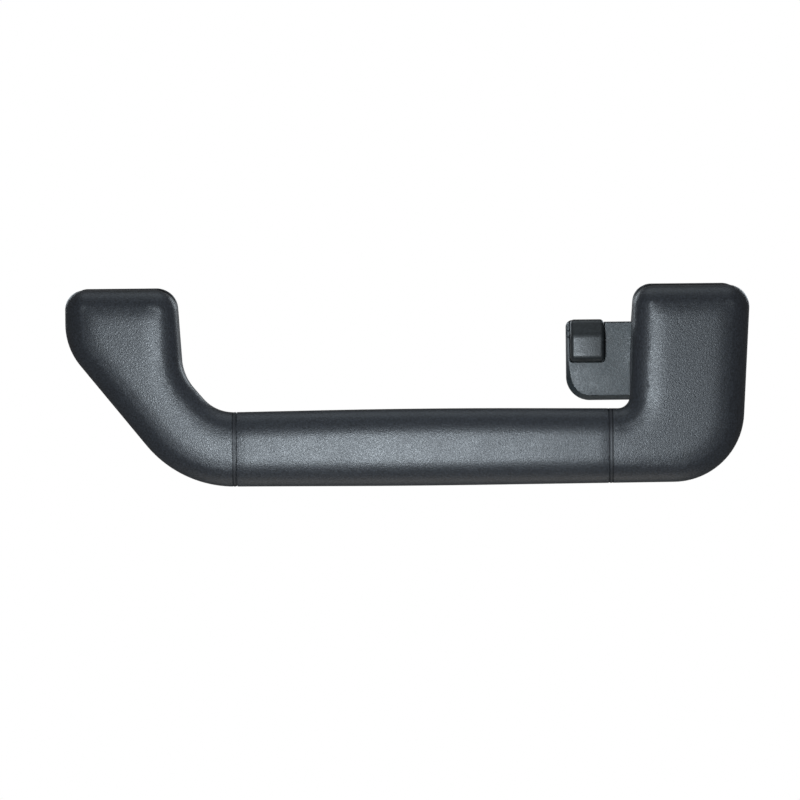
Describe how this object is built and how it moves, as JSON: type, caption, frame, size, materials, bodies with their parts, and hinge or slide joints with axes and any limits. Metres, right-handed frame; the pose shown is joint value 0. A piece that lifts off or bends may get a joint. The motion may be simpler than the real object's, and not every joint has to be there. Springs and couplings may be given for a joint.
{
  "type": "car roof grab handle with coat hook",
  "caption": "Folding car interior grab handle: a C-shaped moulded grip hinged to screw-on bases, with a small fold-out coat hook beside its end.",
  "frame": {"origin": "on the roof rail's face, midway between the two mounting screws", "axes": "+X along the handle towards the coat hook's end, +Y along the mounting screws into the roof rail, +Z away from the grip bar"},
  "size_m": [0.2409, 0.0436, 0.0708],
  "materials": {
    "handle_plastic": "fine spark-eroded grain",
    "base_plastic": "fine grain",
    "hook_plastic": "fine grain, harder and a little greener",
    "seam_trim": "satin",
    "core_plastic": "glass-filled, slightly streaked",
    "bearing_plastic": "natural acetal",
    "cast_metal": "as cast",
    "plated_steel": "zinc plated",
    "spring_steel": "drawn wire",
    "bumper_rubber": "matt"
  },
  "bodies": {
    "base": {"coat_hook_pin": "plated_steel", "coat_hook_plate": "hook_plastic", "coat_hook_screws": "plated_steel", "coat_hook_spring": "spring_steel", "damper_housing": "core_plastic", "left_base_tray": "base_plastic", "left_hinge_bracket": "cast_metal", "left_hinge_cover": "base_plastic", "left_hinge_pin": "plated_steel", "left_screw_cap": "base_plastic", "mount_screws": "plated_steel", "mount_washers": "plated_steel", "pin_clips": "plated_steel", "return_spring": "spring_steel", "right_base_tray": "base_plastic", "right_hinge_bracket": "cast_metal", "right_hinge_cover": "base_plastic", "right_hinge_pin": "plated_steel", "right_screw_cap": "base_plastic", "spring_spool": "bearing_plastic"},
    "grip": {"left_end_shell": "handle_plastic", "right_end_shell": "handle_plastic", "left_elbow_cover": "handle_plastic", "right_elbow_cover": "handle_plastic", "grip_front_shell": "handle_plastic", "grip_back_shell": "handle_plastic", "left_seam_ring": "seam_trim", "right_seam_ring": "seam_trim", "grip_core": "core_plastic", "hinge_bushes": "bearing_plastic", "damper_rotor": "bearing_plastic", "shell_screws": "plated_steel", "rest_bumpers": "bumper_rubber"},
    "coat_hook": {"coat_hook_lever": "hook_plastic"}
  },
  "joints": [
    {"name": "handle_fold", "type": "hinge", "parent": "base", "child": "grip", "pos_m": [0, -0.0198, 0.017], "axis": [-1, 0, 0], "range_deg": [0, 90], "stiffness_Nm_per_rad": 0.15, "springref_deg": -57.3, "deforming": ["return_spring"]},
    {"name": "coat_hook_fold", "type": "hinge", "parent": "base", "child": "coat_hook", "pos_m": [0.0646, -0.009, 0.0095], "axis": [-1, 0, 0], "range_deg": [0, 55], "stiffness_Nm_per_rad": 0.02, "springref_deg": -28.65, "deforming": ["coat_hook_spring"]}
  ]
}
